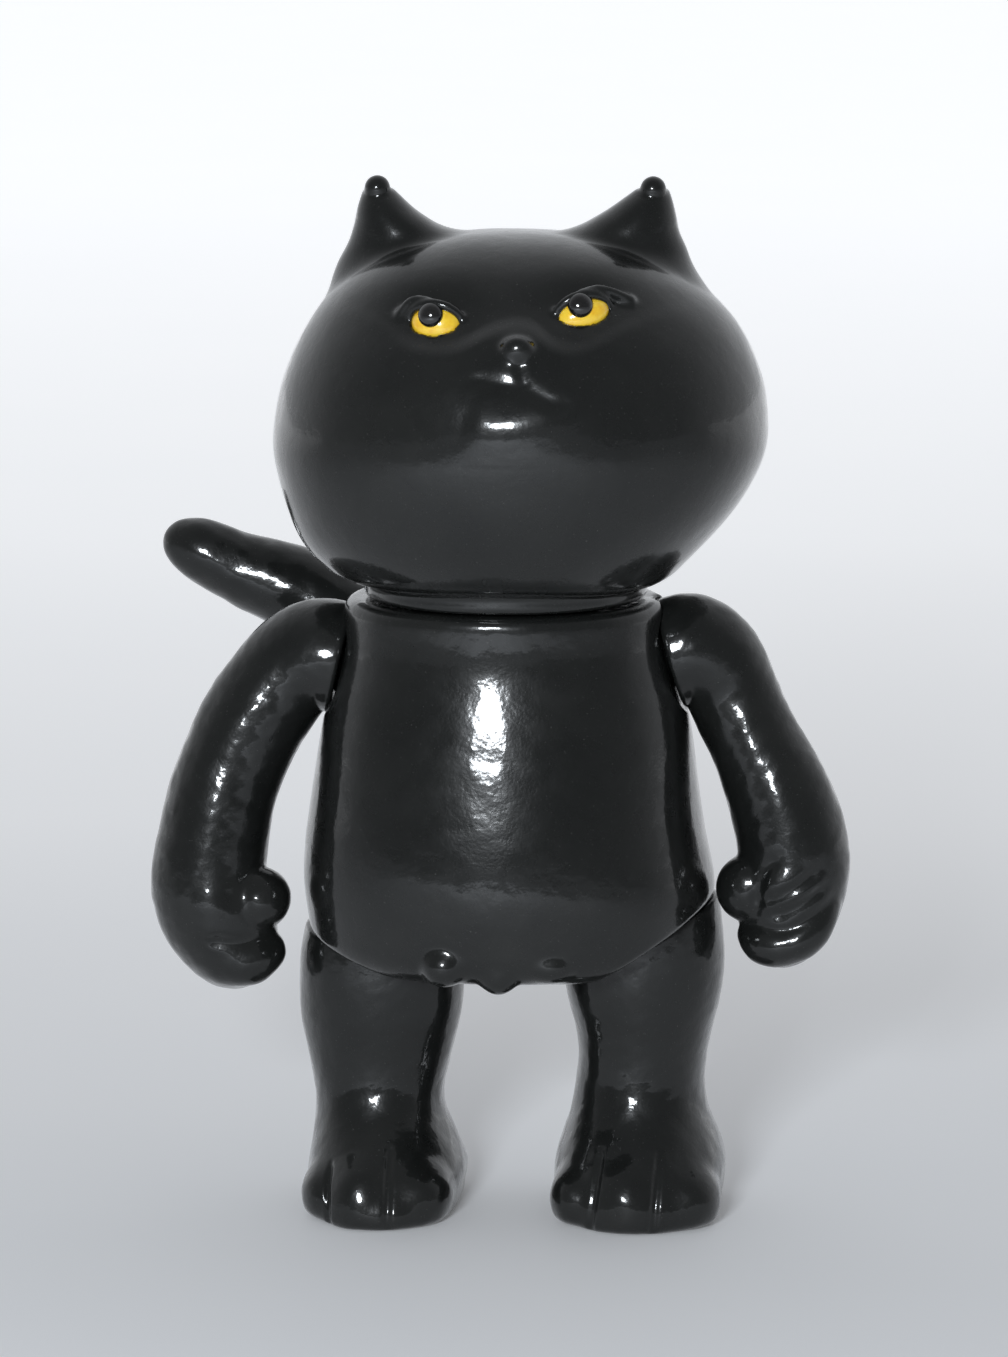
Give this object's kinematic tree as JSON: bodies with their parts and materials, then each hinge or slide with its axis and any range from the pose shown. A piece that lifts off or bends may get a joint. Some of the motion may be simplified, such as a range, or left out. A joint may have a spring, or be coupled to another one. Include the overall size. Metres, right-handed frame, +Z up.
{
  "type": "standing cat figure",
  "caption": "Hollow glossy soft-vinyl standing cat figure with a large turning head, swivelling arms, legs and tail that snap into the torso, and domed amber eyes.",
  "frame": {"origin": "centre of the bounding box at the level of the soles", "axes": "+Z up through the head, the figure faces -Y, its left side is +X"},
  "size_m": [0.1588, 0.1184, 0.2298],
  "materials": {
    "black_vinyl": "solid black soft vinyl, very glossy, with the slight lumpiness of a cast piece",
    "amber_gloss": "glossy amber yellow",
    "black_gloss": "glossy black"
  },
  "bodies": {
    "torso": {"torso_shell": "black_vinyl"},
    "head": {"head_shell": "black_vinyl", "eye_right": "amber_gloss", "eye_left": "amber_gloss", "pupil_right": "black_gloss", "pupil_left": "black_gloss"},
    "arm_right": {"arm_right_shell": "black_vinyl"},
    "arm_left": {"arm_left_shell": "black_vinyl"},
    "leg_right": {"leg_right_shell": "black_vinyl"},
    "leg_left": {"leg_left_shell": "black_vinyl"},
    "tail": {"tail_shell": "black_vinyl"}
  },
  "joints": [
    {"name": "neck_turn", "type": "hinge", "parent": "torso", "child": "head", "pos_m": [0.00361, -0.01311, 0.1372], "axis": [0, 0, 1], "continuous": true},
    {"name": "shoulder_right", "type": "hinge", "parent": "torso", "child": "arm_right", "pos_m": [-0.03229, -0.01231, 0.1224], "axis": [0.9744, 0, -0.225], "range_deg": [-110, 55]},
    {"name": "shoulder_left", "type": "hinge", "parent": "torso", "child": "arm_left", "pos_m": [0.03951, -0.01231, 0.1244], "axis": [0.9613, 0, 0.2756], "range_deg": [-110, 55]},
    {"name": "hip_right", "type": "hinge", "parent": "torso", "child": "leg_right", "pos_m": [-0.02449, -0.01331, 0.0583], "axis": [-0.3256, 0, -0.9455], "range_deg": [-45, 60]},
    {"name": "hip_left", "type": "hinge", "parent": "torso", "child": "leg_left", "pos_m": [0.03451, -0.01331, 0.0624], "axis": [-0.5, 0, 0.866], "range_deg": [-45, 60]},
    {"name": "tail_turn", "type": "hinge", "parent": "torso", "child": "tail", "pos_m": [0.00411, 0.01909, 0.086], "axis": [0, 1, 0], "range_deg": [-30, 90]}
  ]
}
